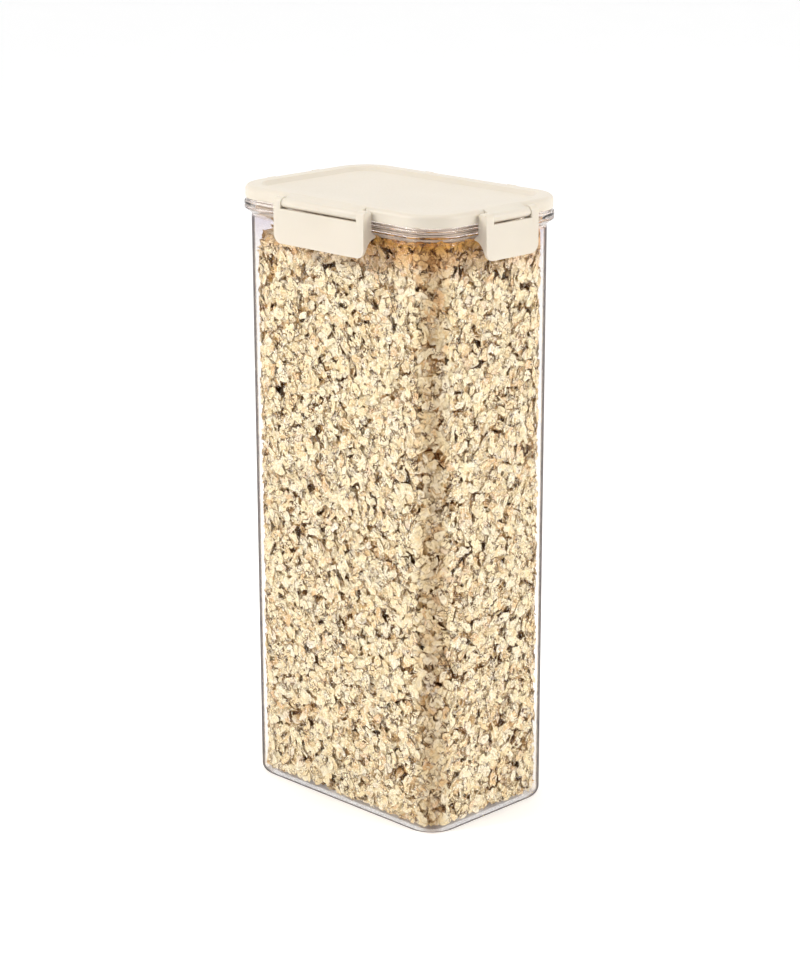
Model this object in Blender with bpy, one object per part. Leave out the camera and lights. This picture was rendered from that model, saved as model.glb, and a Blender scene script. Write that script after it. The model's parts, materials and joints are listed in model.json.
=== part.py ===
"""Food canister: clear rectangular body, cream lid with a plug and seal, and four side latches.

Sizes are in millimetres here and become metres in the meshes. +Z is up, X runs along the
long side, and the origin is on the ground under the middle of the body. A section through
the wall is given as (offset, height), with offset counted outwards from the body's outer
face just below the rim.
"""

import math

import bmesh
import bpy
from mathutils import Matrix, Vector

MM = 0.001

# body, measured just below the rim
HALF_X, HALF_Y, CORNER = 65.3, 42.85, 16.1
DRAFT = 0.4
WALL = 2.0
FLOOR_Z, FOOT_RECESS, FOOT_WIDTH = 3.0, 1.0, 3.4
FOOT_ROUND, FLOOR_ROUND = 4.0, 3.0

# rim of the body
RIM_TOP, RIM_OUT, NECK_OUT = 293.55, 3.4, 2.5
RIM_LOW, RIM_ROOT = 289.0, 286.5
RIDGE_LOW, RIDGE_HIGH, GROOVE_LOW = 290.3, 292.3, 289.7
GROOVE_DEPTH, GROOVE_FLAT, RIDGE_EASE = 0.45, 0.1, 0.25

# lid
LID_TOP, LID_LOW, LID_OUT = 300.0, 293.85, 2.93
LID_ROUND, LID_LIP = 2.4, 0.4
BORDER, RECESS_SLOPE, RECESS_DEPTH = 7.7, 2.0, 2.0
BORDER_EDGE, PLATE, UNDER_CHAMFER = 0.3, 2.0, 1.0
PLUG_OUT, PLUG_IN, PLUG_LOW = -2.9, -5.9, 289.1
PLUG_CHAMFER = 0.8
SEAL_LOW, SEAL_HIGH, SEAL_FLOOR = 290.1, 292.9, -4.3
SEAL_RIB, RIB_FOOT, RIB_TOP = 0.5, 0.85, 0.35

# hinges and latches; every latch stands on the lid's side
GAP = 0.3
AXIS_OUT, AXIS_Z = 6.2, 296.25
BARREL_R, SOCKET_R, SOCKET_DEPTH = 2.3, 1.3, 3.1
PIN_R, PIN_LENGTH = 1.2, 2.7
WEB_LOW, WEB_HIGH, WEB_ROOT = 294.9, 297.9, 1.2
LATCH_OUT, LATCH_LOW, EAR_R = 8.93, 277.2, 2.73
LATCH_IN, PLATE_IN = 3.7, 7.1
SLOT_LOW = 293.35
HOOK_TIP, HOOK_LOW, HOOK_DROP, HOOK_EDGE = 1.3, 286.1, 0.37, 0.3
LIP_IN = 7.8
POCKET_LOW, CHEEK, RIB = 289.6, 4.0, 1.0
FACE_CORNER, FACE_ROUND, FACE_EDGE = 4.5, 0.9, 35.0
EAR_TOP_CORNER = 0.9
BROAD_HALF, BROAD_SLOT = 30.1, 25.4
NARROW_HALF, NARROW_SLOT = 17.3, 12.6

# materials
CREAM, CREAM_ROUGHNESS = (0.86, 0.80, 0.68), 0.42
CLEAR, CLEAR_ROUGHNESS, CLEAR_ALPHA = (0.86, 0.88, 0.88), 0.06, 0.25
SILICONE, SILICONE_ROUGHNESS = (0.80, 0.78, 0.72), 0.60

# (name, turn about Z, distance of the body's face, half length, half slot)
SIDES = (
    ("front", 0.0, HALF_Y, BROAD_HALF, BROAD_SLOT),
    ("right", 90.0, HALF_X, NARROW_HALF, NARROW_SLOT),
    ("back", 180.0, HALF_Y, BROAD_HALF, BROAD_SLOT),
    ("left", 270.0, HALF_X, NARROW_HALF, NARROW_SLOT),
)

CORNER_STEPS = 10
ROUND_STEPS = 40
LIP_STEPS = 8
SMOOTH_DEGREES = 32.0
OVERRUN = 1.0
TINY = 1e-6


def clear_scene():
    for ob in list(bpy.data.objects):
        bpy.data.objects.remove(ob, do_unlink=True)


def new_collection(name):
    coll = bpy.data.collections.new(name)
    bpy.context.scene.collection.children.link(coll)
    return coll


def material(name, colour, roughness, alpha=1.0):
    mat = bpy.data.materials.new(name)
    mat.use_nodes = True
    shader = mat.node_tree.nodes["Principled BSDF"]
    shader.inputs["Base Color"].default_value = (*colour, 1.0)
    shader.inputs["Roughness"].default_value = roughness
    shader.inputs["Alpha"].default_value = alpha
    mat.diffuse_color = (*colour, alpha)
    return mat


def arc(centre, radius, start, end, steps):
    """Points on an arc of a section, from one angle to another in degrees."""
    out = []
    for i in range(steps + 1):
        a = math.radians(start + (end - start) * i / steps)
        out.append((centre[0] + radius * math.cos(a), centre[1] + radius * math.sin(a)))
    return out


def object_of(name, bm, coll, mat=None):
    bmesh.ops.recalc_face_normals(bm, faces=bm.faces)
    mesh = bpy.data.meshes.new(name)
    bm.to_mesh(mesh)
    bm.free()
    ob = bpy.data.objects.new(name, mesh)
    coll.objects.link(ob)
    if mat:
        mesh.materials.append(mat)
    return ob


def section_points(bm, offset, height):
    """The points of one rounded rectangle, in order around it."""
    radius = CORNER + offset
    cx, cy = HALF_X - CORNER, HALF_Y - CORNER
    verts = []
    for quarter, (sx, sy) in enumerate(((1, 1), (-1, 1), (-1, -1), (1, -1))):
        for x, y in arc((sx * cx, sy * cy), radius, 90 * quarter, 90 * quarter + 90, CORNER_STEPS):
            verts.append(bm.verts.new(Vector((x, y, height)) * MM))
    return verts


def loft(name, section, coll, mat, closed=False):
    """A loft through rounded rectangles whose size and corner radius follow the section."""
    bm = bmesh.new()
    loops = [section_points(bm, *point) for point in section]
    pairs = list(zip(loops, loops[1:]))
    if closed:
        pairs.append((loops[-1], loops[0]))
    for low, high in pairs:
        for i in range(len(low)):
            bm.faces.new((low[i - 1], low[i], high[i], high[i - 1]))
    if not closed:
        bm.faces.new(loops[0])
        bm.faces.new(loops[-1])
    return object_of(name, bm, coll, mat)


def prism(name, outline, x_low, x_high, coll, mat=None):
    """An outline of (outward, height) points, drawn out along X. Outward is -Y."""
    bm = bmesh.new()
    verts = [bm.verts.new(Vector((x_low, -o, z)) * MM) for o, z in outline]
    face = bm.faces.new(verts)
    made = bmesh.ops.extrude_face_region(bm, geom=[face])
    moved = [v for v in made["geom"] if isinstance(v, bmesh.types.BMVert)]
    bmesh.ops.translate(bm, verts=moved, vec=Vector((x_high - x_low, 0, 0)) * MM)
    return object_of(name, bm, coll, mat)


def block(name, low, high, coll):
    """A box between two corners given as (x, outward, z)."""
    outline = [(low[1], low[2]), (high[1], low[2]), (high[1], high[2]), (low[1], high[2])]
    return prism(name, outline, low[0], high[0], coll)


def rod(name, x_low, x_high, radius, coll):
    """A cylinder along X on the hinge axis."""
    bm = bmesh.new()
    bmesh.ops.create_cone(
        bm, cap_ends=True, segments=ROUND_STEPS, radius1=radius * MM, radius2=radius * MM,
        depth=(x_high - x_low) * MM,
    )
    place = Vector(((x_low + x_high) / 2, -AXIS_OUT, AXIS_Z)) * MM
    turn = Matrix.Translation(place) @ Matrix.Rotation(math.pi / 2, 4, "Y")
    bmesh.ops.transform(bm, matrix=turn, verts=bm.verts)
    return object_of(name, bm, coll)


def combine(ob, tool, operation):
    """Apply an exact Boolean. The tool stays in its own collection as a wire cutter."""
    tool.hide_render = True
    tool.display_type = "WIRE"
    mod = ob.modifiers.new(operation.lower(), "BOOLEAN")
    mod.operation, mod.solver, mod.object = operation, "EXACT", tool
    bpy.context.view_layer.update()
    mesh = bpy.data.meshes.new_from_object(ob.evaluated_get(bpy.context.evaluated_depsgraph_get()))
    old = ob.data
    ob.modifiers.clear()
    ob.data = mesh
    mesh.name = old.name
    bpy.data.meshes.remove(old)


def turn_mesh(ob, degrees, reach):
    """Move a mesh made against a face at y = 0 out to its side of the body."""
    turn = Matrix.Rotation(math.radians(degrees), 4, "Z")
    ob.data.transform(turn @ Matrix.Translation((0, -reach * MM, 0)))


def clean(ob):
    """Join doubled points that a Boolean leaves and drop zero-size edges."""
    bm = bmesh.new()
    bm.from_mesh(ob.data)
    bmesh.ops.remove_doubles(bm, verts=bm.verts, dist=TINY)
    bmesh.ops.dissolve_degenerate(bm, edges=bm.edges, dist=TINY)
    bm.to_mesh(ob.data)
    bm.free()


def shade(ob):
    """Smooth shading, with sharper edges kept hard."""
    bm = bmesh.new()
    bm.from_mesh(ob.data)
    for face in bm.faces:
        face.smooth = True
    for edge in bm.edges:
        edge.smooth = len(edge.link_faces) == 2 and edge.calc_face_angle(0.0) < math.radians(SMOOTH_DEGREES)
    bm.to_mesh(ob.data)
    bm.free()


def set_origin(ob, point):
    """Put the object's origin on a point given in millimetres, leaving its shape in place."""
    at = Vector(point) * MM
    ob.data.transform(Matrix.Translation(-at))
    ob.location = at


def body_section():
    """The body's wall from the middle of the underside, up the outside and down the inside."""
    foot = -DRAFT - FOOT_ROUND
    out = [(foot - FOOT_WIDTH - FOOT_RECESS, FOOT_RECESS), (foot - FOOT_WIDTH, 0.0)]
    out += arc((foot, FOOT_ROUND), FOOT_ROUND, -90, 0, 5)
    out += [(0.0, RIM_ROOT), (RIM_OUT, RIM_LOW), (RIM_OUT, GROOVE_LOW)]
    middle = (GROOVE_LOW + RIDGE_LOW) / 2
    out += [(RIM_OUT - GROOVE_DEPTH, middle - GROOVE_FLAT)]
    out += [(RIM_OUT - GROOVE_DEPTH, middle + GROOVE_FLAT)]
    out += [(RIM_OUT, RIDGE_LOW), (RIM_OUT, RIDGE_HIGH), (NECK_OUT, RIDGE_HIGH + RIDGE_EASE)]
    out += arc((NECK_OUT - GAP, RIM_TOP - GAP), GAP, 0, 90, 3)
    out += arc((GAP - WALL, RIM_TOP - GAP), GAP, 90, 180, 3)
    low = -WALL - DRAFT
    out += arc((low - FLOOR_ROUND, FLOOR_Z + FLOOR_ROUND), FLOOR_ROUND, 0, -90, 5)
    return out


def lid_section():
    """The lid from its recessed top, over the border, down the side and plug and up inside."""
    step = LID_OUT - BORDER
    out = [(step - RECESS_SLOPE, LID_TOP - RECESS_DEPTH), (step - BORDER_EDGE, LID_TOP - BORDER_EDGE)]
    out += [(step + BORDER_EDGE, LID_TOP)]
    out += arc((LID_OUT - LID_ROUND, LID_TOP - LID_ROUND), LID_ROUND, 90, 0, 5)
    out += arc((LID_OUT - LID_LIP, LID_LOW + LID_LIP), LID_LIP, 0, -90, 3)
    out += [(PLUG_OUT, LID_LOW), (PLUG_OUT, SEAL_HIGH), (SEAL_FLOOR, SEAL_HIGH), (SEAL_FLOOR, SEAL_LOW)]
    out += [(PLUG_OUT, SEAL_LOW), (PLUG_OUT, PLUG_LOW + PLUG_CHAMFER), (PLUG_OUT - PLUG_CHAMFER, PLUG_LOW)]
    under = LID_TOP - RECESS_DEPTH - PLATE
    out += [(PLUG_IN, PLUG_LOW), (PLUG_IN, under - UNDER_CHAMFER), (PLUG_IN - UNDER_CHAMFER, under)]
    return out


def seal_section():
    """A ring with two soft ribs towards the body's wall."""
    low, high = SEAL_LOW + GAP, SEAL_HIGH - GAP
    inner, rib, face = SEAL_FLOOR + GAP, -WALL - GAP, -WALL - GAP - SEAL_RIB
    profile = [(face, 0.0), (rib, RIB_TOP), (rib, RIB_FOOT - RIB_TOP), (face, RIB_FOOT)]
    out = [(inner, low)] + [(offset, low + rise) for offset, rise in profile]
    out += [(offset, high - drop) for offset, drop in reversed(profile)] + [(inner, high)]
    return out


def latch_outline():
    """The latch seen from its end: face, ear, catch under the rim and thin finger lip."""
    def under_rim(offset):
        return RIM_ROOT + offset * (RIM_LOW - RIM_ROOT) / RIM_OUT - HOOK_DROP

    out = [(LATCH_OUT, LATCH_LOW)]
    lean = math.degrees(math.acos((AXIS_OUT - LATCH_IN) / EAR_R))
    out += arc((AXIS_OUT, AXIS_Z), EAR_R, 0, 180 - lean, 12)
    out += [(LATCH_IN, under_rim(LATCH_IN)), (HOOK_TIP, under_rim(HOOK_TIP))]
    out += [(HOOK_TIP, HOOK_LOW + HOOK_EDGE)]
    start = HOOK_TIP + HOOK_EDGE
    for i in range(LIP_STEPS + 1):
        a = math.radians(90.0 * i / LIP_STEPS)
        across, down = (LIP_IN - start) * math.sin(a), (HOOK_LOW - LATCH_LOW) * math.cos(a)
        out.append((start + across, LATCH_LOW + down))
    return out


def face_cutter(name, half, coll):
    """What is kept of the latch seen from the front: round lower corners and ear tops."""
    top = AXIS_Z + EAR_R
    outline = []
    for sx, sz, r, start in (
        (1, -1, FACE_CORNER, 270), (1, 1, EAR_TOP_CORNER, 0),
        (-1, 1, EAR_TOP_CORNER, 90), (-1, -1, FACE_CORNER, 180),
    ):
        z = top - r if sz > 0 else LATCH_LOW + r
        outline += arc((sx * (half - r), z), r, start, start + 90, 6)
    bm = bmesh.new()
    verts = [bm.verts.new(Vector((x, 0.0, z)) * MM) for x, z in outline]
    face = bm.faces.new(verts)
    made = bmesh.ops.extrude_face_region(bm, geom=[face])
    moved = [v for v in made["geom"] if isinstance(v, bmesh.types.BMVert)]
    bmesh.ops.translate(bm, verts=moved, vec=Vector((0, -LATCH_OUT - OVERRUN, 0)) * MM)
    return object_of(name, bm, coll)


def round_face(ob):
    """Round the edges around the latch's outer face and over its ears."""
    bm = bmesh.new()
    bm.from_mesh(ob.data)
    bmesh.ops.dissolve_limit(bm, angle_limit=math.radians(1.0), verts=bm.verts, edges=bm.edges)
    picked = []
    for edge in bm.edges:
        middle = (edge.verts[0].co + edge.verts[1].co) / 2 / MM
        sharp = len(edge.link_faces) == 2 and edge.calc_face_angle(0.0) > math.radians(FACE_EDGE)
        if sharp and -middle.y > (AXIS_OUT + LATCH_OUT) / 2 + FACE_ROUND:
            picked.append(edge)
    bmesh.ops.bevel(
        bm, geom=picked, offset=FACE_ROUND * MM, segments=3, profile=0.5, affect="EDGES",
        clamp_overlap=True,
    )
    bm.to_mesh(ob.data)
    bm.free()


def make_latch(side, degrees, reach, half, slot, coll, cutters, mat):
    name = f"latch_{side}"
    ob = prism(name, latch_outline(), -half, half, coll, mat)
    combine(ob, face_cutter(f"cut_{name}_face", half, cutters), "INTERSECT")
    round_face(ob)
    top, front = AXIS_Z + EAR_R + OVERRUN, LATCH_OUT + OVERRUN
    combine(ob, block(f"cut_{name}_slot", (-slot, 0.0, SLOT_LOW), (slot, front, top), cutters), "DIFFERENCE")
    for sx, where in ((-1, "low"), (1, "high")):
        x = sorted((sx * RIB, sx * (half - CHEEK)))
        high = (x[1], PLATE_IN, SLOT_LOW + OVERRUN)
        pocket = block(f"cut_{name}_pocket_{where}", (x[0], 0.0, POCKET_LOW), high, cutters)
        combine(ob, pocket, "DIFFERENCE")
        x = sorted((sx * (slot - PIN_LENGTH), sx * (slot + OVERRUN)))
        combine(ob, rod(f"cut_{name}_pin_{where}", x[0], x[1], PIN_R, cutters), "UNION")
    clean(ob)
    shade(ob)
    turn_mesh(ob, degrees, reach)
    outward = Matrix.Rotation(math.radians(degrees), 3, "Z") @ Vector((0, -1, 0))
    set_origin(ob, outward * (reach + AXIS_OUT) + Vector((0, 0, AXIS_Z)))
    return ob


def add_barrel(lid, side, degrees, reach, slot, cutters):
    """A hinge barrel on one side of the lid, with a web and a socket in each end."""
    half = slot - GAP
    web = block(f"add_web_{side}", (-half, LID_OUT - WEB_ROOT, WEB_LOW), (half, AXIS_OUT, WEB_HIGH), cutters)
    barrel = rod(f"add_barrel_{side}", -half, half, BARREL_R, cutters)
    sockets = [
        rod(f"cut_socket_{side}_low", -half - OVERRUN, -half + SOCKET_DEPTH, SOCKET_R, cutters),
        rod(f"cut_socket_{side}_high", half - SOCKET_DEPTH, half + OVERRUN, SOCKET_R, cutters),
    ]
    for tool in (web, barrel, *sockets):
        turn_mesh(tool, degrees, reach)
    combine(lid, web, "UNION")
    combine(lid, barrel, "UNION")
    for tool in sockets:
        combine(lid, tool, "DIFFERENCE")


def build():
    clear_scene()
    parts = new_collection("food_canister")
    cutters = new_collection("cutters")
    clear = material("clear_plastic", CLEAR, CLEAR_ROUGHNESS, alpha=CLEAR_ALPHA)
    cream = material("cream_plastic", CREAM, CREAM_ROUGHNESS)
    silicone = material("silicone", SILICONE, SILICONE_ROUGHNESS)

    body = loft("canister_body", body_section(), parts, clear)
    shade(body)

    lid = loft("lid", lid_section(), parts, cream)
    for side, degrees, reach, _, slot in SIDES:
        add_barrel(lid, side, degrees, reach, slot, cutters)
    clean(lid)
    shade(lid)
    set_origin(lid, (0.0, 0.0, LID_LOW))

    seal = loft("lid_seal", seal_section(), parts, silicone, closed=True)
    shade(seal)
    set_origin(seal, (0.0, 0.0, LID_LOW))

    for side, degrees, reach, half, slot in SIDES:
        tint = material(f"cream_plastic_{side}", CREAM, CREAM_ROUGHNESS)
        make_latch(side, degrees, reach, half, slot, parts, cutters, tint)


build()
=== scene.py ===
"""Looks of the food canister: clear body, cream latching lid, seal, latches and the oats it holds.

Lengths in the shape functions are in millimetres and become metres in the meshes. A section
through a wall is a list of (offset, height), with offset counted outwards from the body's face.
"""

import json
import math

import bmesh
import bpy
import numpy as np
from mathutils import Matrix, Vector


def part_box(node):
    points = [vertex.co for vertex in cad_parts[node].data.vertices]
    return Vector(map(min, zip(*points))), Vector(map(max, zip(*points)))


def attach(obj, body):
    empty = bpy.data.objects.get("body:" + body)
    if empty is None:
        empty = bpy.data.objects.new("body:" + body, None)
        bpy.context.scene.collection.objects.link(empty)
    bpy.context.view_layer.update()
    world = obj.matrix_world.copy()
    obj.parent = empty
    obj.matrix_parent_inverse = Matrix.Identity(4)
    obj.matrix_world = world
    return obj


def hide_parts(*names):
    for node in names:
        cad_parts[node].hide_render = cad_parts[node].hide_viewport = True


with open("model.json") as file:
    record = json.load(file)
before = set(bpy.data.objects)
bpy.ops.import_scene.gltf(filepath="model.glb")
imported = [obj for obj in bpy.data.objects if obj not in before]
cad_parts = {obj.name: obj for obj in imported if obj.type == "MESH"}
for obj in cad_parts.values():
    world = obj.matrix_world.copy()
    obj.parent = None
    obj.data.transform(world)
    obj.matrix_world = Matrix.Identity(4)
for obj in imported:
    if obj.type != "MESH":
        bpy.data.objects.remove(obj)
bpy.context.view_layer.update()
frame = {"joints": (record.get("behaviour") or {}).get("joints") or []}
MM = 0.001

# ---------------------------------------------------------------- sizes read from the frame
body_low, body_high = (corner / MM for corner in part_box("canister_body"))
lid_low, lid_high = (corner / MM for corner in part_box("lid"))
front_low, front_high = (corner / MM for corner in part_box("latch_front"))
right_low, right_high = (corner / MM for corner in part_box("latch_right"))
seal_low, seal_high = (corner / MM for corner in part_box("lid_seal"))
hinges = {j["child"]: j for j in frame["joints"] if j["type"] == "hinge"}

RIM_OUT, DRAFT, WALL, CORNER = 3.4, 0.4, 2.0, 16.1
HALF_X, HALF_Y = body_high.x - RIM_OUT, body_high.y - RIM_OUT
RIM_TOP, RIM_LOW, RIM_ROOT = body_high.z, 289.0, 286.5
GROOVE_LOW, GROOVE_HIGH, GROOVE_DEPTH, GROOVE_EASE = 289.95, 290.1, 0.5, 0.2
LEDGE_Z, LEDGE_EASE, LEDGE_IN = 292.3, 0.25, 0.9
FLOOR_Z, FOOT_RECESS, FOOT_WIDTH, FOOT_ROUND, FLOOR_ROUND = 3.0, 1.0, 3.4, 4.0, 3.0
CORNER_FADE = 8.0  # degrees of a corner over which its painted dark edge comes in

LID_TOP, LID_LOW, LID_OUT, LID_ROUND = lid_high.z, RIM_TOP + 0.3, 2.93, 2.4
BORDER, RECESS_SLOPE, RECESS_DEPTH, PLATE = 7.7, 2.0, 2.0, 2.0
PLUG_OUT, PLUG_IN, PLUG_LOW = -2.9, -5.9, lid_low.z
PLUG_CHAMFER, UNDER_CHAMFER, SKIN_ROUND = 0.8, 1.0, 0.45
SEAL_LOW, SEAL_HIGH, SEAL_FLOOR, GAP = seal_low.z - 0.3, seal_high.z + 0.3, -4.3, 0.3

AXIS_Z = hinges["latch_front"]["pos_m"][2] / MM
AXIS_OUT = -hinges["latch_front"]["pos_m"][1] / MM - HALF_Y
BARREL_R, SOCKET_R, SOCKET_DEPTH, PIN_R, PIN_LENGTH = 2.3, 1.3, 3.1, 1.2, 2.7
WEB_LOW, WEB_HIGH = 294.9, 298.4
LATCH_OUT, LATCH_LOW, EAR_R = -front_low.y - HALF_Y, front_low.z, 2.73
FACE_CORNER, EAR_CORNER, FACE_EDGE = 4.5, 0.9, 0.9
LATCH_IN, PLATE_IN, SLOT_LOW, POCKET_LOW, CHEEK, RIB = 3.7, 7.1, 293.65, 289.6, 4.0, 1.0
HOOK_TIP, HOOK_LOW, HOOK_DROP, HOOK_EDGE, LIP_IN = 1.3, 286.1, 0.37, 0.3, 7.8
WALL_ENDS, HEADSPACE = (284.5, 286.0), (266.0, 284.0)
SIDES = (
    ("front", 0.0, HALF_Y, front_high.x, 25.4),
    ("right", 90.0, HALF_X, right_high.y, 12.6),
    ("back", 180.0, HALF_Y, front_high.x, 25.4),
    ("left", 270.0, HALF_X, right_high.y, 12.6),
)

# ---------------------------------------------------------------- camera
AZIMUTH, ELEVATION, DISTANCE, LENS, ROLL = 45.13, 16.27, 1.283, 96.97, -0.16
AIM = Vector((0.0, 0.0, 0.150))


def direction(azimuth, elevation):
    """From the object towards a viewer; azimuth 0 looks along +Y."""
    a, e = math.radians(azimuth), math.radians(elevation)
    return Vector((math.sin(a) * math.cos(e), -math.cos(a) * math.cos(e), math.sin(e)))


def add_camera():
    data = bpy.data.cameras.new("photo_camera")
    camera = bpy.data.objects.new("photo_camera", data)
    bpy.context.scene.collection.objects.link(camera)
    towards = direction(AZIMUTH, ELEVATION)
    camera.location = AIM + towards * DISTANCE
    turn = (-towards).to_track_quat("-Z", "Y").to_matrix()
    camera.rotation_euler = (turn @ Matrix.Rotation(math.radians(ROLL), 3, "Z")).to_euler()
    data.lens, data.sensor_width = LENS, 36.0
    data.shift_x, data.shift_y = 0.0018, 0.0051
    data.clip_start, data.clip_end = 0.01, 50.0
    bpy.context.scene.camera = camera


# ---------------------------------------------------------------- node helpers
class Nodes:
    """A short way to build a node material."""

    def __init__(self, name):
        self.mat = bpy.data.materials.new(name)
        self.mat.use_nodes = True
        self.tree = self.mat.node_tree
        self.shader = self.tree.nodes["Principled BSDF"]
        self.out = self.tree.nodes["Material Output"]
        self.place = self.add("ShaderNodeTexCoord").outputs["Object"]

    def add(self, kind, inputs=None, **settings):
        node = self.tree.nodes.new(kind)
        for key, value in settings.items():
            setattr(node, key, value)
        for key, value in (inputs or {}).items():
            if isinstance(value, bpy.types.NodeSocket):
                self.tree.links.new(value, node.inputs[key])
            else:
                node.inputs[key].default_value = value
        return node

    def fix(self, **values):
        """Set sockets of the main shader; a name's underscores stand for spaces."""
        for name, value in values.items():
            self.shader.inputs[name.replace("_", " ")].default_value = value

    def feed(self, name, source):
        """Drive one socket of the main shader."""
        self.tree.links.new(source, self.shader.inputs[name])

    def noise(self, scale, detail=3.0, roughness=0.5):
        made = {"Vector": self.place, "Scale": scale, "Detail": detail, "Roughness": roughness}
        return self.add("ShaderNodeTexNoise", made).outputs["Fac"]

    def math(self, operation, *values):
        return self.add("ShaderNodeMath", dict(enumerate(values)), operation=operation).outputs[0]

    def noise_colour(self, scale):
        made = {"Vector": self.place, "Scale": scale}
        return self.add("ShaderNodeTexNoise", made).outputs["Color"]

    def attribute(self, name):
        return self.add("ShaderNodeAttribute", attribute_name=name).outputs["Fac"]

    def between(self, value, low, high, at_low=0.0, at_high=1.0):
        """A straight change from one value to another between two places."""
        made = {"Value": value, "From Min": low, "From Max": high}
        made.update({"To Min": at_low, "To Max": at_high})
        return self.add("ShaderNodeMapRange", made).outputs["Result"]

    def multiply(self, a, b):
        return self.mix(1.0, a, b, "MULTIPLY")

    def ramp(self, fac, *stops):
        node = self.add("ShaderNodeValToRGB", {"Fac": fac})
        ramp = node.color_ramp
        while len(ramp.elements) < len(stops):
            ramp.elements.new(0.5)
        for element, (place, colour) in zip(ramp.elements, stops):
            element.position = place
            element.color = (*colour, 1.0)
        return node.outputs["Color"]

    def mask(self, fac, start, end, first=0.0, last=1.0):
        """A grey ramp from one strength to another."""
        return self.ramp(fac, (start, (first,) * 3), (end, (last,) * 3))

    def spread(self, fac, low, high):
        """A noise's usual range, stretched between two values."""
        return self.between(fac, 0.3, 0.7, low, high)

    def mix(self, fac, a, b, blend="MIX"):
        node = self.add("ShaderNodeMix", data_type="RGBA", blend_type=blend)
        for key, value in ((0, fac), (6, a), (7, b)):
            if isinstance(value, bpy.types.NodeSocket):
                self.tree.links.new(value, node.inputs[key])
            elif key:
                node.inputs[key].default_value = (*value, 1.0)
            else:
                node.inputs[key].default_value = value
        return node.outputs[2]

    def bump(self, height, distance, strength=1.0):
        made = {"Height": height, "Distance": distance, "Strength": strength}
        self.feed("Normal", self.add("ShaderNodeBump", made).outputs["Normal"])


def cream_plastic():
    """Satin moulded polypropylene with a fine spark-eroded grain."""
    n = Nodes("cream_plastic")
    n.fix(Subsurface_Weight=0.12, Subsurface_Radius=(0.0030, 0.0022, 0.0012), Subsurface_Scale=1.0)
    low, high = (0.30, (0.682, 0.618, 0.518)), (0.70, (0.704, 0.640, 0.542))
    n.feed("Base Color", n.ramp(n.noise(35.0, 2.0), low, high))
    n.feed("Roughness", n.spread(n.noise(900.0, 4.0), 0.34, 0.46))
    n.bump(n.noise(4200.0, 2.0), 0.00002, 0.35)
    return n.mat


def clear_plastic():
    """Clear glossy plastic: a thin see-through wall with painted dark edges, painted shade at the
    corners and under the lid, and a solid glassy rim.

    The mesh says where the surface is rounded, and how far round a corner it is.
    """
    n = Nodes("clear_plastic")
    n.fix(Base_Color=(0.90, 0.82, 0.75, 1.0), Specular_Tint=(0.35, 0.35, 0.35, 1.0))
    n.fix(IOR=1.50, Transmission_Weight=1.0)
    n.feed("Roughness", n.spread(n.noise(60.0, 3.0), 0.0, 0.006))
    height = n.add("ShaderNodeSeparateXYZ", {0: n.place}).outputs["Z"]
    wall = n.between(height, *(z * MM for z in WALL_ENDS), 1.0, 0.0)
    # Painted shade: a dark diffuse colour is mixed in where the rounded outer wall is seen edge-on.
    # It stands in for the dark edges that light bent through the wall gives.
    facing = n.add("ShaderNodeLayerWeight", {"Blend": 0.5}).outputs["Facing"]
    grazing = n.ramp(facing, (0.57, (0.0,) * 3), (0.68, (0.84,) * 3), (1.0, (0.90,) * 3))
    edge = n.math("MULTIPLY", grazing, n.attribute("rounded"))
    share = n.math("MULTIPLY_ADD", wall, 0.8, 0.2)
    dark = n.add("ShaderNodeBsdfDiffuse", {"Color": (0.115, 0.102, 0.107, 1.0)})
    edged = n.add("ShaderNodeMixShader",
                  {0: n.math("MULTIPLY", edge, share), 1: n.shader.outputs[0], 2: dark.outputs[0]})
    path = n.add("ShaderNodeLightPath").outputs
    unseen = n.math("MAXIMUM", path["Is Shadow Ray"], path["Is Diffuse Ray"])
    thin = n.math("MULTIPLY", n.math("SUBTRACT", 0.94, edge), wall)
    # Painted shade: what is seen through the wall turns greyer towards the top, standing in for the
    # lid's shade in the empty space under it.
    head = n.between(height, *(z * MM for z in HEADSPACE))
    headspace_shade = n.ramp(head, (0.0, (0.995, 0.99, 0.985)), (1.0, (0.945, 0.925, 0.945)))
    # Painted shade: what is seen through the wall is darkened half way round each corner.
    corner_shade = n.ramp(n.attribute("bend"), (0.25, (1.0,) * 3), (1.0, (0.83, 0.79, 0.76)))
    through = n.add("ShaderNodeBsdfTransparent", {"Color": n.multiply(headspace_shade, corner_shade)})
    mixed = n.add("ShaderNodeMixShader",
                  {0: n.math("MAXIMUM", unseen, thin), 1: edged.outputs[0], 2: through.outputs[0]})
    n.tree.links.new(mixed.outputs[0], n.out.inputs["Surface"])
    return n.mat


def silicone():
    """Matt silicone rubber."""
    n = Nodes("silicone")
    low, high = (0.3, (0.70, 0.66, 0.60)), (0.7, (0.76, 0.72, 0.66))
    n.feed("Base Color", n.ramp(n.noise(80.0), low, high))
    n.feed("Roughness", n.spread(n.noise(1500.0), 0.45, 0.6))
    n.bump(n.noise(2500.0), 0.00003, 0.4)
    return n.mat


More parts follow.
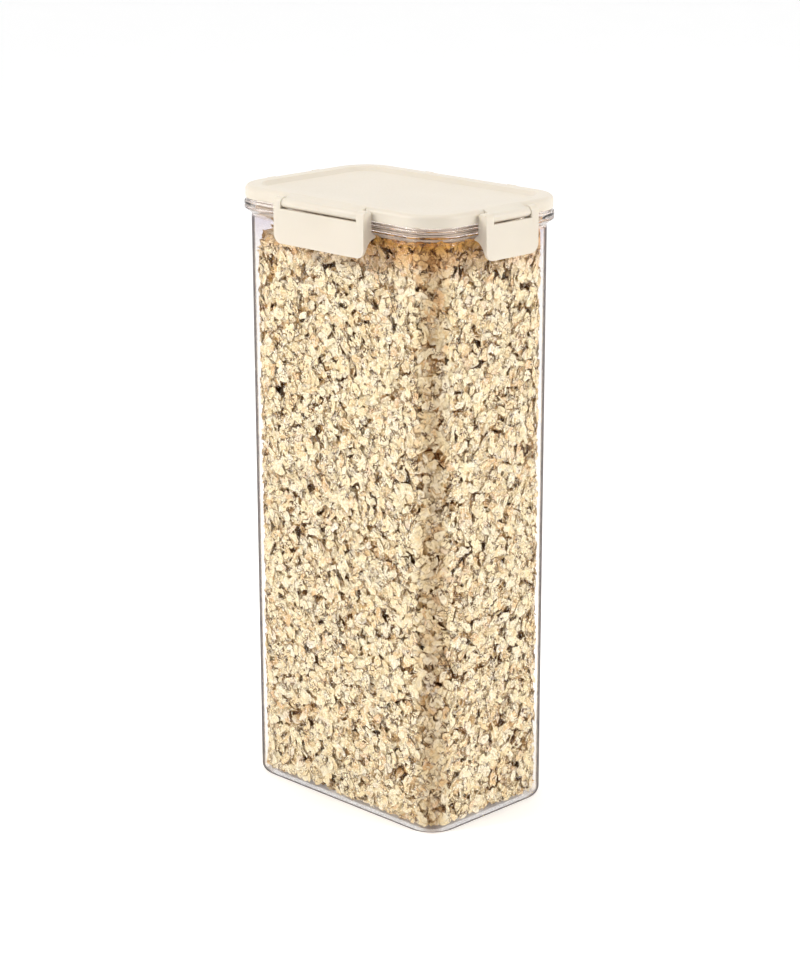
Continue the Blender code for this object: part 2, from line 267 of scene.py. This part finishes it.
def oat_flakes():
    """Rolled oats: each flake has its own tone, dusty flour, and a dark rim and crease, partly the
    husk's own brown and partly painted shade outlining the flakes; painted dark cracks stand for
    shaded slits, and painted shade darkens flakes lying deeper and near the wall under the lid.
    """
    n = Nodes("oat_flakes")
    tone = n.add("ShaderNodeNewGeometry").outputs["Random Per Island"]
    base = n.ramp(
        tone, (0.0, (0.99, 0.90, 0.68)), (0.40, (0.99, 0.87, 0.58)), (0.65, (0.99, 0.84, 0.53)),
        (0.86, (0.96, 0.76, 0.45)), (0.96, (0.86, 0.58, 0.30)), (1.0, (0.99, 0.92, 0.76)),
    )
    # Partly the husk's own brown and partly painted shade: dark brown on patches of the rims and
    # creases, outlining the flakes in place of the shade between them.
    bran_and_outline_shade = n.mask(n.attribute("rim"), 0.68, 0.88, last=0.95)
    patches = n.mask(n.noise(190.0, 2.0), 0.44, 0.56)
    bran_and_outline_shaded = n.mix(n.multiply(bran_and_outline_shade, patches), base, (0.26, 0.115, 0.035))
    # Painted shade: thin, patchy dark crack lines standing for the shade in slits and cracks.
    shift = {0: n.noise_colour(260.0), 1: (0.004, 0.004, 0.004), 2: n.place}
    wander = n.add("ShaderNodeVectorMath", shift, operation="MULTIPLY_ADD").outputs[0]
    cells = {"Vector": wander, "Scale": 420.0}
    lines = n.add("ShaderNodeTexVoronoi", cells, feature="DISTANCE_TO_EDGE").outputs["Distance"]
    cracks = n.mask(lines, 0.04, 0.10, 1.0, 0.0)
    scarce = n.mask(n.noise(240.0, 2.0), 0.53, 0.60)
    crack_shaded = n.mix(n.multiply(cracks, scarce), bran_and_outline_shaded, (0.13, 0.05, 0.012))
    streak = n.ramp(n.noise(700.0, 4.0, 0.6), (0.36, (0.80, 0.75, 0.68)), (0.54, (1.0, 1.0, 1.0)))
    flour = n.mask(n.noise(330.0, 5.0, 0.65), 0.50, 0.70, last=0.7)
    dusted = n.mix(flour, n.multiply(crack_shaded, streak), (1.0, 0.95, 0.82))
    # Painted shade: flakes darken to brown the deeper they lie, from the wall or from the heap's
    # top.
    shade = n.ramp(
        n.attribute("deep"),
        (0.30, (1.0,) * 3), (0.48, (0.82, 0.62, 0.38)), (0.72, (0.36, 0.17, 0.055)),
    )
    # Painted shade from the lid: flakes near the wall at the top turn a darker orange-brown.
    lid_shade = n.ramp(n.attribute("tan"), (0.0, (1.0,) * 3), (0.8, (0.82, 0.55, 0.17)))
    n.feed("Base Color", n.multiply(n.multiply(dusted, shade), lid_shade))
    n.feed("Roughness", n.spread(n.noise(900.0), 0.6, 0.85))
    n.bump(n.noise(1400.0, 4.0, 0.6), 0.0002, 0.7)
    return n.mat


def shaded_oat_core():
    """The oats further in, painted dark brown to stand for the shade in the gaps between the
    flakes.
    """
    n = Nodes("shaded_oat_core")
    crumbs = n.noise(300.0, 5.0)
    n.feed("Base Color", n.ramp(crumbs, (0.35, (0.22, 0.09, 0.03)), (0.65, (0.38, 0.18, 0.065))))
    n.feed("Roughness", n.spread(n.noise(500.0), 0.8, 0.95))
    n.bump(n.noise(350.0, 4.0), 0.001, 0.8)
    return n.mat


def floor_paper():
    """White paper with a weak glow, so that it stays white right up to the object."""
    n = Nodes("floor_paper")
    n.feed("Base Color", n.mask(n.noise(12.0), 0.3, 0.7, 0.95, 0.97))
    n.feed("Roughness", n.spread(n.noise(40.0), 0.6, 0.7))
    n.fix(Specular_IOR_Level=0.2, Emission_Color=(1.0, 1.0, 1.0, 1.0), Emission_Strength=0.19)
    return n.mat


# ---------------------------------------------------------------- shape helpers
def arc(centre, radius, start, end, steps):
    out = []
    for i in range(steps + 1):
        a = math.radians(start + (end - start) * i / steps)
        out.append((centre[0] + radius * math.cos(a), centre[1] + radius * math.sin(a)))
    return out


def object_of(name, bm, mat=None, show=True):
    bmesh.ops.recalc_face_normals(bm, faces=bm.faces)
    mesh = bpy.data.meshes.new(name)
    bm.to_mesh(mesh)
    bm.free()
    ob = bpy.data.objects.new(name, mesh)
    if show:
        bpy.context.scene.collection.objects.link(ob)
    if mat:
        mesh.materials.append(mat)
    return ob


def softened(points, radius, steps=3):
    """The section with its sharp turns rounded, where the stretches are long enough."""
    out = [points[0]]
    for before, here, after in zip(points, points[1:], points[2:]):
        a, b, c = Vector(before), Vector(here), Vector(after)
        inward, outward = a - b, c - b
        flat = min(inward.length, outward.length) < 1e-6
        turn = 0.0 if flat else math.degrees(inward.angle(-outward, 0.0))
        longest = 0.45 * min(inward.length, outward.length)
        cut = min(radius * math.tan(math.radians(turn / 2)), longest)
        if turn < 20.0 or cut < 0.02:
            out.append(here)
            continue
        start, end = b + inward.normalized() * cut, b + outward.normalized() * cut
        for i in range(steps + 1):
            t = i / steps
            out.append(tuple(start * (1 - t) ** 2 + b * 2 * t * (1 - t) + end * t ** 2))
    out.append(points[-1])
    return out


def section_points(bm, offset, height, steps):
    radius = max(CORNER + offset, 0.5)
    cx, cy = HALF_X - CORNER, HALF_Y - CORNER
    verts = []
    for quarter, (sx, sy) in enumerate(((1, 1), (-1, 1), (-1, -1), (1, -1))):
        for x, y in arc((sx * cx, sy * cy), radius, 90 * quarter, 90 * quarter + 90, steps):
            verts.append(bm.verts.new(Vector((x, y, height)) * MM))
    return verts


def loft(name, section, mat, closed=False, steps=24):
    """A loft through rounded rectangles whose size and corner radius follow the section."""
    bm = bmesh.new()
    loops = [section_points(bm, *point, steps) for point in section]
    pairs = list(zip(loops, loops[1:]))
    if closed:
        pairs.append((loops[-1], loops[0]))
    for low, high in pairs:
        for i in range(len(low)):
            bm.faces.new((low[i - 1], low[i], high[i], high[i - 1]))
    if not closed:
        bm.faces.new(loops[0])
        bm.faces.new(loops[-1])
    return object_of(name, bm, mat)


def extruded(name, points, along):
    """A flat outline of 3-D points, drawn out along a vector, as a hidden tool."""
    bm = bmesh.new()
    face = bm.faces.new([bm.verts.new(Vector(p) * MM) for p in points])
    made = bmesh.ops.extrude_face_region(bm, geom=[face])
    moved = [v for v in made["geom"] if isinstance(v, bmesh.types.BMVert)]
    bmesh.ops.translate(bm, verts=moved, vec=Vector(along) * MM)
    return object_of(name, bm, show=False)


def prism(name, outline, x_low, x_high):
    return extruded(name, [(x_low, -o, z) for o, z in outline], (x_high - x_low, 0, 0))


def block(name, low, high):
    outline = [(low[1], low[2]), (high[1], low[2]), (high[1], high[2]), (low[1], high[2])]
    return prism(name, outline, low[0], high[0])


def rod(name, x_low, x_high, radius, steps=64):
    ring = arc((AXIS_OUT, AXIS_Z), radius, 0, 360 - 360 / steps, steps - 1)
    return prism(name, ring, x_low, x_high)


def combine(ob, tool, operation):
    """Apply an exact Boolean and remove the tool."""
    for each in (ob, tool):
        if each.name not in bpy.context.scene.collection.objects:
            bpy.context.scene.collection.objects.link(each)
    mod = ob.modifiers.new("cut", "BOOLEAN")
    mod.operation, mod.solver, mod.object = operation, "EXACT", tool
    bake_modifiers(ob)
    bpy.data.objects.remove(tool)


def bake_modifiers(ob):
    bpy.context.view_layer.update()
    depsgraph = bpy.context.evaluated_depsgraph_get()
    mesh = bpy.data.meshes.new_from_object(ob.evaluated_get(depsgraph))
    ob.modifiers.clear()
    ob.data = mesh


def add_attribute(mesh, name, values):
    """A number for each point of a mesh, for its material to read."""
    made = mesh.attributes.new(name, "FLOAT", "POINT")
    made.data.foreach_set("value", values.reshape(-1).astype(np.float32))


def turn_mesh(ob, degrees, reach):
    move = Matrix.Translation((0, -reach * MM, 0))
    ob.data.transform(Matrix.Rotation(math.radians(degrees), 4, "Z") @ move)


def fine_edges(ob, width, segments=3, angle=38.0):
    """Small rounds on the sharp edges, then smooth shading."""
    bm = bmesh.new()
    bm.from_mesh(ob.data)
    bmesh.ops.remove_doubles(bm, verts=bm.verts, dist=2e-6)
    bmesh.ops.dissolve_degenerate(bm, edges=bm.edges, dist=2e-6)
    bmesh.ops.dissolve_limit(bm, angle_limit=math.radians(0.5), verts=bm.verts, edges=bm.edges)
    bm.to_mesh(ob.data)
    bm.free()
    mod = ob.modifiers.new("rounds", "BEVEL")
    mod.width, mod.segments, mod.limit_method = width * MM, segments, "ANGLE"
    mod.angle_limit, mod.use_clamp_overlap, mod.harden_normals = math.radians(angle), True, False
    mod.miter_outer = "MITER_ARC"
    bake_modifiers(ob)
    smooth(ob)


def smooth(ob, angle=40.0):
    ob.data.shade_smooth()
    ob.data.set_sharp_from_angle(angle=math.radians(angle))


# ---------------------------------------------------------------- canister, lid and seal
def make_body(mat):
    """The clear moulding, from the underside up the outside, over the rim and down the inside.

    Its material reads "rounded", 1 where an outer edge may get a painted dark edge, and "bend", 1
    half way round a corner, where painted shade darkens what is seen through the wall.
    """
    foot = -DRAFT - FOOT_ROUND
    out = [(foot - FOOT_WIDTH - FOOT_RECESS, FOOT_RECESS), (foot - FOOT_WIDTH, 0.0)]
    out += arc((foot, FOOT_ROUND), FOOT_ROUND, -90, 0, 12)
    groove, neck = RIM_OUT - GROOVE_DEPTH, RIM_OUT - LEDGE_IN
    out += [(0.0, RIM_ROOT), (RIM_OUT, RIM_LOW)]
    out += [(RIM_OUT, GROOVE_LOW - GROOVE_EASE), (groove, GROOVE_LOW)]
    out += [(groove, GROOVE_HIGH), (RIM_OUT, GROOVE_HIGH + GROOVE_EASE), (RIM_OUT, LEDGE_Z)]
    out += [(neck, LEDGE_Z + LEDGE_EASE), (neck, RIM_TOP), (-WALL, RIM_TOP)]
    low = -WALL - DRAFT
    out += arc((low - FLOOR_ROUND, FLOOR_Z + FLOOR_ROUND), FLOOR_ROUND, 0, -90, 10)
    body = loft("body_clear", softened(out, SKIN_ROUND), mat, steps=32)
    smooth(body, 60.0)
    x, y, z = np.array([v.co for v in body.data.vertices]).T / MM
    inner = (rounded_distance(x, y, 0.5 * WALL) < 0.0) & (z > FLOOR_Z - 0.01)
    around = np.degrees(np.arctan2(np.abs(y) - HALF_Y + CORNER, np.abs(x) - HALF_X + CORNER))
    corner = np.clip(np.minimum(around, 90.0 - around) / CORNER_FADE, 0.0, 1.0)
    foot_or_rim = (z < FOOT_ROUND - 0.4) | (z > RIM_ROOT + 0.6)
    add_attribute(body.data, "rounded", np.where(inner, 0.0, np.where(foot_or_rim, 1.0, corner)))
    bend = np.sin(np.radians(2 * around)) ** 2
    add_attribute(body.data, "bend", np.where(inner | (z > RIM_ROOT), 0.0, bend))
    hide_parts("canister_body")
    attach(body, "canister")


def lid_section():
    """The lid, from the recess over the border, down the side and plug, and under the plate."""
    step = LID_OUT - BORDER
    out = [(step - RECESS_SLOPE, LID_TOP - RECESS_DEPTH), (step, LID_TOP)]
    out += arc((LID_OUT - LID_ROUND, LID_TOP - LID_ROUND), LID_ROUND, 90, 0, 12)
    out += [(LID_OUT, LID_LOW), (PLUG_OUT, LID_LOW), (PLUG_OUT, SEAL_HIGH), (SEAL_FLOOR, SEAL_HIGH)]
    out += [(SEAL_FLOOR, SEAL_LOW), (PLUG_OUT, SEAL_LOW)]
    out += [(PLUG_OUT, PLUG_LOW + PLUG_CHAMFER), (PLUG_OUT - PLUG_CHAMFER, PLUG_LOW)]
    under = LID_TOP - RECESS_DEPTH - PLATE
    out += [(PLUG_IN, PLUG_LOW), (PLUG_IN, under - UNDER_CHAMFER), (PLUG_IN - UNDER_CHAMFER, under)]
    floor_point = (step - RECESS_SLOPE - 1.5, LID_TOP - RECESS_DEPTH)
    return softened([floor_point] + out, SKIN_ROUND)


def hinge_blend():
    """The saddle that runs from a hinge barrel's crown up into the lid's rounded edge."""
    crown, root = AXIS_Z + BARREL_R, LID_OUT - 1.4
    out = [(root, crown - 2.0), (AXIS_OUT, crown - 2.0), (AXIS_OUT, crown)]
    out += [(AXIS_OUT - 1.2, crown + 0.15), (LID_OUT + 0.6, crown + 0.6)]
    return out + [(LID_OUT - 0.9, LID_TOP - 0.28), (root, LID_TOP - 0.2)]


def make_lid(mat):
    lid = loft("lid_moulding", lid_section(), mat)
    for side, degrees, reach, half, slot in SIDES:
        end = slot - GAP
        tools = [
            (block("web", (-end, LID_OUT - 1.2, WEB_LOW), (end, AXIS_OUT, WEB_HIGH)), "UNION"),
            (rod("barrel", -end, end, BARREL_R), "UNION"),
            (prism("blend", hinge_blend(), -end, end), "UNION"),
            (rod("socket", -end - 1.0, -end + SOCKET_DEPTH, SOCKET_R), "DIFFERENCE"),
            (rod("socket", end - SOCKET_DEPTH, end + 1.0, SOCKET_R), "DIFFERENCE"),
        ]
        for tool, operation in tools:
            turn_mesh(tool, degrees, reach)
            combine(lid, tool, operation)
    fine_edges(lid, 0.18, 2)
    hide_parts("lid")
    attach(lid, "lid")


def make_seal(mat):
    """The ring in the plug's groove, with two ribs that meet the inside of the mouth."""
    low, high = SEAL_LOW + GAP, SEAL_HIGH - GAP
    inner, rib, face = SEAL_FLOOR + GAP, -WALL - GAP, -WALL - GAP - 0.5
    out = [(inner, low), (face, low), (rib, low + 0.35), (rib, low + 0.5), (face, low + 0.85)]
    out += [(face, high - 0.85), (rib, high - 0.5), (rib, high - 0.35), (face, high), (inner, high)]
    seal = loft("seal_ring", out, mat, closed=True)
    smooth(seal, 60.0)
    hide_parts("lid_seal")
    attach(seal, "lid")


# ---------------------------------------------------------------- latches
def latch_outline():
    """A latch cut across: the plate, the ear round the pins, the hook and the finger lip."""
    def under_rim(offset):
        return RIM_ROOT + offset * (RIM_LOW - RIM_ROOT) / RIM_OUT - HOOK_DROP

    out = [(LATCH_OUT, LATCH_LOW)]
    lean = math.degrees(math.acos((AXIS_OUT - LATCH_IN) / EAR_R))
    out += arc((AXIS_OUT, AXIS_Z), EAR_R, 0, 180 - lean, 24)
    out += [(LATCH_IN, under_rim(LATCH_IN)), (HOOK_TIP, under_rim(HOOK_TIP))]
    out += [(HOOK_TIP, HOOK_LOW + HOOK_EDGE)]
    start = HOOK_TIP + HOOK_EDGE
    for x, z in arc((0.0, 0.0), 1.0, 90, 0, 16):
        out.append((start + (LIP_IN - start) * x, LATCH_LOW + (HOOK_LOW - LATCH_LOW) * z))
    return out


def face_shape(half):
    """What is kept of the latch seen from the front: round lower corners and ear tops."""
    top = AXIS_Z + EAR_R
    outline = []
    turns = ((1, -1, 270), (1, 1, 0), (-1, 1, 90), (-1, -1, 180))
    for sx, sz, start in turns:
        r = EAR_CORNER if sz > 0 else FACE_CORNER
        z = top - r if sz > 0 else LATCH_LOW + r
        outline += arc((sx * (half - r), z), r, start, start + 90, 12)
    return extruded("face", [(x, 0.0, z) for x, z in outline], (0, -LATCH_OUT - 1.0, 0))


def round_face(ob, width, segments):
    """Round the edges around the latch's outer face and over its ears."""
    bm = bmesh.new()
    bm.from_mesh(ob.data)
    bmesh.ops.dissolve_limit(bm, angle_limit=math.radians(0.5), verts=bm.verts, edges=bm.edges)
    picked = []
    for edge in bm.edges:
        middle = (edge.verts[0].co + edge.verts[1].co) / 2 / MM
        sharp = len(edge.link_faces) == 2 and edge.calc_face_angle(0.0) > math.radians(35.0)
        if sharp and -middle.y > AXIS_OUT + 2.2:
            picked.append(edge)
    bmesh.ops.bevel(
        bm, geom=picked, offset=width * MM, segments=segments,
        profile=0.5, affect="EDGES", clamp_overlap=True,
    )
    bm.to_mesh(ob.data)
    bm.free()


def make_latch(side, degrees, reach, half, slot, mat):
    ob = prism(f"latch_{side}_moulding", latch_outline(), -half, half)
    ob.data.materials.append(mat)
    combine(ob, face_shape(half), "INTERSECT")
    round_face(ob, FACE_EDGE, 6)
    top = AXIS_Z + EAR_R + 1.0
    combine(ob, block("slot", (-slot, 0.0, SLOT_LOW), (slot, 12.0, top)), "DIFFERENCE")
    for sx in (-1, 1):
        low, high = sorted((sx * RIB, sx * (half - CHEEK)))
        pocket = block("pocket", (low, 0.0, POCKET_LOW), (high, PLATE_IN, SLOT_LOW + 1.0))
        combine(ob, pocket, "DIFFERENCE")
        low, high = sorted((sx * (slot - PIN_LENGTH), sx * (slot + 1.0)))
        combine(ob, rod("pin", low, high, PIN_R), "UNION")
    fine_edges(ob, 0.25, 2)
    turn_mesh(ob, degrees, reach)
    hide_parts(f"latch_{side}")
    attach(ob, f"latch_{side}")


# ---------------------------------------------------------------- oats
FLAKE_SPOKES = 10
FLAKE_KINDS = 16
INNER_GAP = 0.08
FILL_TOP = 288.4
PIECE_FLAKES = 2400
FLAT_SHARE = 0.64
DEEPEST = 7.0
CORNER_SLACK = 0.3
# Where painted shade from the lid lies on the oats: from this height, over this span, and this far
# in from the wall.
LID_SHADE_FROM, LID_SHADE_SPAN, LID_SHADE_REACH = 268.0, 20.0, 5.0
CORNER_SIGNS = np.array([(1, 1), (-1, 1), (-1, -1), (1, -1)])


def wall_inset(height):
    """How far inside the body's face the inner wall is at a height."""
    return WALL + DRAFT * (1 - height / RIM_ROOT)


def rounded_distance(x, y, inset):
    """Signed distance, outwards, to a rounded rectangle set in from the body's face."""
    radius = CORNER - inset
    cx, cy = HALF_X - CORNER, HALF_Y - CORNER
    qx, qy = np.abs(x) - cx, np.abs(y) - cy
    ox, oy = np.maximum(qx, 0), np.maximum(qy, 0)
    far = np.hypot(ox, oy)
    return far + np.minimum(np.maximum(qx, qy), 0) - radius


def flake_kind(rng):
    """One flake about 1 mm in half length: a thin cupped oval with a crease and a ragged rim."""
    spokes = np.arange(FLAKE_SPOKES) / FLAKE_SPOKES * 2 * math.pi
    spokes = spokes + rng.uniform(-0.15, 0.15, FLAKE_SPOKES)
    edge = 1 + 0.10 * np.sin(2 * spokes + rng.uniform(0, 6.3))
    edge = edge + rng.uniform(-0.13, 0.10, FLAKE_SPOKES)
    for notch in rng.choice(FLAKE_SPOKES, rng.integers(1, 4), replace=False):
        edge[notch] *= rng.uniform(0.50, 0.80)
    width = rng.uniform(0.50, 0.84)
    cup, twist, crease = rng.uniform(-0.10, 0.32), rng.uniform(-0.28, 0.28), rng.uniform(0.04, 0.12)
    thick = rng.uniform(0.030, 0.060)
    ruffle = rng.uniform(0.02, 0.07)

    def ring(share, lift):
        x, y = share * edge * np.cos(spokes), share * edge * np.sin(spokes) * width
        z = cup * (x * x - 0.4 * y * y) + twist * x * y - crease * np.exp(-((y / 0.14) ** 2)) + lift
        z = z + rng.uniform(-ruffle, ruffle, FLAKE_SPOKES) * share
        return np.stack([x, y, z], 1)

    rings = [ring(0.40, thick), ring(0.80, thick), ring(1.0, 0.0), ring(0.72, -thick)]
    top, bottom = np.array([[0, 0, thick - crease]]), np.array([[0, 0, -thick - crease]])
    verts = np.concatenate([top, *rings, bottom])
    rim = np.concatenate([[0.95], np.full(FLAKE_SPOKES, 0.30), np.full(FLAKE_SPOKES, 0.45),
                          np.full(FLAKE_SPOKES, 1.0), np.full(FLAKE_SPOKES, 0.5), [0.8]])
    return verts, rim


def flake_faces():
    """The triangles of one flake: a fan, three bands between its rings, and a fan underneath."""
    n, last = FLAKE_SPOKES, 4 * FLAKE_SPOKES + 1
    faces = []
    for i in range(n):
        j = (i + 1) % n
        faces.append((0, 1 + i, 1 + j))
        for r in range(3):
            a, b = 1 + r * n, 1 + (r + 1) * n
            faces += [(a + i, b + i, b + j), (a + i, b + j, a + j)]
        faces.append((last, 1 + 3 * n + j, 1 + 3 * n + i))
    return np.array(faces)


def random_turns(rng, normals, tilt):
    """Frames whose third axis leans from each normal by its tilt, in degrees."""
    count = len(normals)
    helper = rng.normal(size=(count, 3))
    side = np.cross(normals, helper)
    side /= np.linalg.norm(side, axis=1)[:, None]
    t = np.radians(tilt)[:, None]
    third = normals * np.cos(t) + side * np.sin(t)
    first = np.cross(third, rng.normal(size=(count, 3)))
    first /= np.linalg.norm(first, axis=1)[:, None]
    return np.stack([first, np.cross(third, first), third], 2)


def heap(x, y):
    """Height of the oats' surface: full to just under the lid, slumped in one corner."""
    slump = np.clip(1 - (x + HALF_X + 1.5 * (y + HALF_Y)) / 54.0, 0, 1)
    swell = 0.5 * np.sin(x / 13.0 + 1.0) * np.cos(y / 11.0)
    return FILL_TOP - 1.0 + swell - 26.0 * slump


def perimeter(rng, count):
    """Random places around the inner wall, with the outward direction at each."""
    cx, cy, r = HALF_X - CORNER, HALF_Y - CORNER, CORNER - WALL
    lengths = np.array([2 * cy, 2 * cx, 2 * cy, 2 * cx, *([math.pi / 2 * r] * 4)])
    where = rng.choice(8, count, p=lengths / lengths.sum())
    t = rng.uniform(0, 1, count)
    angle = np.where(where >= 4, (where - 4 + t) * math.pi / 2, where * math.pi / 2)
    nx, ny = np.cos(angle), np.sin(angle)
    sx, sy = CORNER_SIGNS[where % 4].T
    x = np.select([where == 0, where == 2, where >= 4], [cx, -cx, sx * cx], (2 * t - 1) * cx)
    y = np.select([where == 1, where == 3, where >= 4], [cy, -cy, sy * cy], (2 * t - 1) * cy)
    return x, y, np.stack([nx, ny, np.zeros(count)], 1)


def lay_flakes(rng, kinds, middle, normal, tilt, size, depth):
    """Flakes in world millimetres. Each is drawn back until it clears the wall and floor."""
    count = len(middle)
    kind = rng.integers(0, len(kinds), count)
    shapes = np.stack([k[0] for k in kinds])[kind]
    rims = np.stack([k[1] for k in kinds])[kind]
    turns = random_turns(rng, normal, tilt)
    verts = np.einsum("nij,nvj->nvi", turns, shapes * size[:, None, None]) + middle[:, None, :]
    inset = wall_inset(verts[..., 2]) + INNER_GAP
    over = rounded_distance(verts[..., 0], verts[..., 1], inset).max(1)
    level = np.abs(normal[:, 2]) > 0.5
    back = np.where(level, np.maximum(over, 0), over + depth)
    towards = np.stack([middle[:, 0], middle[:, 1], np.zeros(count)], 1)
    towards /= np.maximum(np.linalg.norm(towards, axis=1), 1e-6)[:, None]
    away = np.where(level[:, None], towards, normal)
    verts = verts - away[:, None, :] * back[:, None, None]
    low = FLOOR_Z + 0.2 - verts[..., 2].min(1)
    verts[..., 2] += np.maximum(low, 0)[:, None]
    return verts, rims


def keep_below_heap(verts, rims):
    """Drop flakes that stand above the surface of the oats."""
    centre = verts.mean(1)
    kept = centre[:, 2] < heap(centre[:, 0], centre[:, 1])
    return verts[kept], rims[kept]


def flake_mesh(name, verts, rims, faces, mat):
    """One piece of many flakes. "deep" says how buried a point is, for painted shade; "tan" how
    much painted shade from the lid it has.
    """
    count, per = verts.shape[:2]
    mesh = bpy.data.meshes.new(name)
    all_faces = (faces[None] + np.arange(count)[:, None, None] * per).reshape(-1, 3)
    mesh.vertices.add(count * per)
    mesh.vertices.foreach_set("co", (verts.reshape(-1) * MM).astype(np.float32))
    mesh.loops.add(all_faces.size)
    mesh.loops.foreach_set("vertex_index", all_faces.reshape(-1).astype(np.int32))
    mesh.polygons.add(len(all_faces))
    mesh.polygons.foreach_set("loop_start", np.arange(0, all_faces.size, 3, dtype=np.int32))
    mesh.update(calc_edges=True)
    x, y, z = verts.reshape(-1, 3).T
    inward = -rounded_distance(x, y, wall_inset(z))
    add_attribute(mesh, "rim", rims)
    add_attribute(mesh, "deep", np.clip(np.minimum(inward, heap(x, y) - z) / DEEPEST, 0, 1))
    # Painted shade from the lid, strongest near the wall towards the top.
    near_wall = np.clip(1.4 - inward / LID_SHADE_REACH, 0, 1)
    add_attribute(mesh, "tan", np.clip((z - LID_SHADE_FROM) / LID_SHADE_SPAN, 0, 1) * near_wall)
    mesh.materials.append(mat)
    mesh.shade_smooth()
    mesh.set_sharp_from_angle(angle=math.radians(32.0))
    ob = bpy.data.objects.new(name, mesh)
    bpy.context.scene.collection.objects.link(ob)
    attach(ob, "canister")
    return ob


def wall_layer(rng, kinds, count, depth, tilt_high, size):
    """Flakes all round against the wall, most of them lying nearly flat on it."""
    x, y, normal = perimeter(rng, count)
    radius = CORNER - WALL
    z = rng.uniform(FLOOR_Z, FILL_TOP, count)
    middle = np.stack([x + normal[:, 0] * radius, y + normal[:, 1] * radius, z], 1)
    flat = rng.uniform(size=count) < FLAT_SHARE
    tilt = np.where(flat, rng.uniform(2, 24, count), rng.uniform(24, tilt_high, count))
    sizes = rng.uniform(*size, count)
    in_corner = np.abs(np.abs(normal[:, 0]) - np.abs(normal[:, 1])) < 0.9
    depths = rng.uniform(*depth, count) + in_corner * rng.uniform(0, CORNER_SLACK, count)
    return lay_flakes(rng, kinds, middle, normal, tilt, sizes, depths)


def level_layer(rng, kinds, count, height, size, up=1.0):
    """Flakes lying on the floor or on top of the heap."""
    x = rng.uniform(-HALF_X + 4, HALF_X - 4, count)
    y = rng.uniform(-HALF_Y + 4, HALF_Y - 4, count)
    z = height(x, y) + rng.uniform(-1.2, 0.2, count)
    middle = np.stack([x, y, z], 1)
    normal = np.tile([0.0, 0.0, up], (count, 1))
    tilt = rng.uniform(0, 32, count)
    return lay_flakes(rng, kinds, middle, normal, tilt, rng.uniform(*size, count), np.zeros(count))


def make_oats(mat, core_mat):
    rng = np.random.default_rng(12)
    kinds = [flake_kind(rng) for _ in range(FLAKE_KINDS)]
    faces = flake_faces()
    whole, broken = (2.6, 4.3), (0.7, 1.9)
    layers = [
        wall_layer(rng, kinds, 9000, (0.0, 1.0), 60, whole),
        wall_layer(rng, kinds, 10500, (0.8, 2.4), 70, whole),
        wall_layer(rng, kinds, 5200, (2.0, 4.4), 85, whole),
        wall_layer(rng, kinds, 3600, (0.2, 2.4), 85, broken),
        level_layer(rng, kinds, 800, heap, whole),
        level_layer(rng, kinds, 600, lambda x, y: heap(x, y) - 1.6, whole),
        level_layer(rng, kinds, 500, lambda x, y: 0 * x + FLOOR_Z + 0.8, whole, -1.0),
        level_layer(rng, kinds, 400, lambda x, y: 0 * x + FLOOR_Z + 1.8, whole, -1.0),
    ]
    kept = [keep_below_heap(v, r) if i < 4 else (v, r) for i, (v, r) in enumerate(layers)]
    verts, rims = np.concatenate([v for v, r in kept]), np.concatenate([r for v, r in kept])
    order = np.argsort(verts[:, :, 2].mean(1))
    for number, start in enumerate(range(0, len(order), PIECE_FLAKES)):
        chosen = order[start:start + PIECE_FLAKES]
        flake_mesh(f"oats_{number + 1:02d}", verts[chosen], rims[chosen], faces, mat)
    # Painted shade: a dark core inside the flakes, seen through the gaps.
    inset = -WALL - 7.0
    section = [(inset - 3, 7.0), (inset, 10.0), (inset, 262.0)]
    section += [(inset - 4, 266.0), (inset - 9, 268.0)]
    core = loft("shaded_oats_core", section, core_mat, steps=8)
    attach(core, "canister")


# ---------------------------------------------------------------- studio
def add_floor(mat):
    bm = bmesh.new()
    bmesh.ops.create_grid(bm, x_segments=8, y_segments=8, size=12.0)
    floor = object_of("floor", bm, mat)


def add_light(name, azimuth, elevation, distance, size, power, colour=(1.0, 1.0, 1.0), aim=AIM):
    data = bpy.data.lights.new(name, "AREA")
    data.shape, data.size, data.size_y = "RECTANGLE", size[0], size[1]
    data.energy, data.color = power, colour
    light = bpy.data.objects.new(name, data)
    bpy.context.scene.collection.objects.link(light)
    towards = direction(azimuth, elevation)
    light.location = aim + towards * distance
    light.rotation_euler = (-towards).to_track_quat("-Z", "Y").to_euler()
    return light


def add_world():
    """A white studio with a dimmer wall behind the photographer."""
    world = bpy.data.worlds.new("studio")
    world.use_nodes = True
    tree = world.node_tree
    back = tree.nodes["Background"]
    towards = tree.nodes.new("ShaderNodeVectorMath")
    towards.operation = "DOT_PRODUCT"
    towards.inputs[1].default_value = direction(AZIMUTH, 0.0)
    tree.links.new(tree.nodes.new("ShaderNodeTexCoord").outputs["Generated"], towards.inputs[0])
    ramp = tree.nodes.new("ShaderNodeValToRGB")
    bright, dim = ramp.color_ramp.elements
    bright.position, bright.color = 0.45, (1.0, 1.0, 1.0, 1.0)
    dim.position, dim.color = 0.80, (0.15, 0.15, 0.15, 1.0)
    tree.links.new(towards.outputs["Value"], ramp.inputs[0])
    tree.links.new(ramp.outputs["Color"], back.inputs["Color"])
    back.inputs["Strength"].default_value = 0.92
    bpy.context.scene.world = world


def main():
    add_camera()
    cream = cream_plastic()
    make_body(clear_plastic())
    make_lid(cream)
    make_seal(silicone())
    for side, degrees, reach, half, slot in SIDES:
        make_latch(side, degrees, reach, half, slot, cream)
    make_oats(oat_flakes(), shaded_oat_core())
    add_floor(floor_paper())
    add_world()
    add_light("softbox_left", AZIMUTH - 74, 36, 1.6, (0.45, 0.45), 11.3, (1.0, 0.98, 0.95))
    add_light("softbox_right", AZIMUTH + 68, 30, 1.6, (0.5, 0.5), 9.2, (1.0, 0.98, 0.95))
    add_light("softbox_top", AZIMUTH, 84, 1.6, (0.6, 0.6), 1.6, (1.0, 0.98, 0.97))
    bpy.context.scene.view_settings.view_transform = "Standard"


main()
